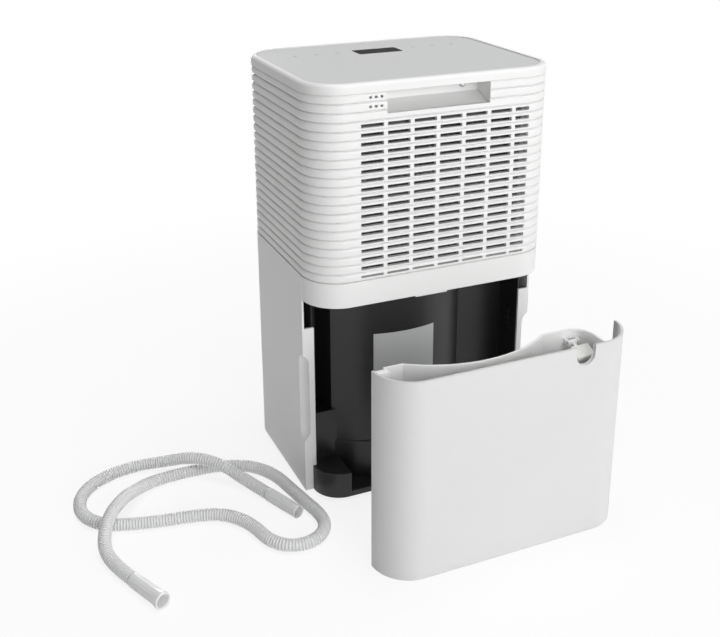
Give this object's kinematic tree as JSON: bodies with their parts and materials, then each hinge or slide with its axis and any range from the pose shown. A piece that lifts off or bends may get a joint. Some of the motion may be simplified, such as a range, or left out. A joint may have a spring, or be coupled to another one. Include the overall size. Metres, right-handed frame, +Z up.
{
  "type": "dehumidifier",
  "caption": "Upright compressor dehumidifier with a ribbed upper housing and inlet grille, its water tank drawn out of the bay below, and a loose ribbed drain hose beside it.",
  "frame": {"origin": "on the floor under the middle of the cabinet", "axes": "+Z up, -Y towards the side where the water tank leaves, +X to the right when facing that side"},
  "size_m": [0.5783, 0.3875, 0.503],
  "materials": {
    "white_plastic": "fine satin moulding",
    "panel_grey": "satin",
    "tank_white": "satin moulding",
    "black_plastic": "fine grain",
    "display_black": "gloss",
    "plate_grey": "matt film",
    "rubber": "matt",
    "hose_plastic": "translucent",
    "copper": "drawn copper",
    "fin_metal": "bare",
    "black_paint": "black enamel",
    "steel": "plain",
    "grey_plastic": "plain",
    "mesh": "woven screen",
    "board_green": "lacquered",
    "foam": "closed foam"
  },
  "bodies": {
    "cabinet": {"upper_housing": "white_plastic", "handle_pocket": "white_plastic", "top_rim": "white_plastic", "top_panel": "panel_grey", "display_window": "display_black", "control_board": "board_green", "lower_housing": "white_plastic", "base_tray": "black_plastic", "rubber_feet": "rubber", "bay_liner": "black_plastic", "bay_plate": "plate_grey", "tank_switch": "black_plastic", "deck": "black_plastic", "drip_tray": "grey_plastic", "drain_spout": "black_plastic", "filter_guides": "white_plastic", "evaporator": "fin_metal", "condenser": "fin_metal", "fan_scroll": "grey_plastic", "fan_motor": "steel", "compressor": "black_paint", "compressor_mounts": "rubber", "mount_bolts": "steel", "suction_pipe": "copper", "discharge_pipe": "copper", "liquid_line": "copper", "power_box": "grey_plastic", "capacitor": "fin_metal", "humidity_sensor": "board_green", "cord_gland": "black_plastic", "drain_hose": "hose_plastic", "spout_cuff": "hose_plastic", "outlet_cuff": "hose_plastic"},
    "filter": {"filter_frame": "white_plastic", "filter_mesh": "mesh"},
    "fan": {"fan_wheel": "grey_plastic", "fan_shaft": "steel"},
    "tank": {"tank_panel": "tank_white", "tank_container": "tank_white", "float_pin": "steel"},
    "float": {"float_arm": "tank_white", "float_block": "foam"}
  },
  "joints": [
    {"name": "tank_slide", "type": "slide", "parent": "cabinet", "child": "tank", "axis": [0.1062, -0.9883, -0.1095], "range_m": [-0.15532, 0]},
    {"name": "filter_slide", "type": "slide", "parent": "cabinet", "child": "filter", "axis": [0, 0, -1], "range_m": [0, 0.17]},
    {"name": "fan_spin", "type": "hinge", "parent": "cabinet", "child": "fan", "pos_m": [0.005, 0.0013, 0.372], "axis": [0, 1, 0], "continuous": true},
    {"name": "float_pivot", "type": "hinge", "parent": "tank", "child": "float", "pos_m": [0.1085, -0.2297, 0.219], "axis": [-1, 0, 0], "range_deg": [0, 25]}
  ]
}
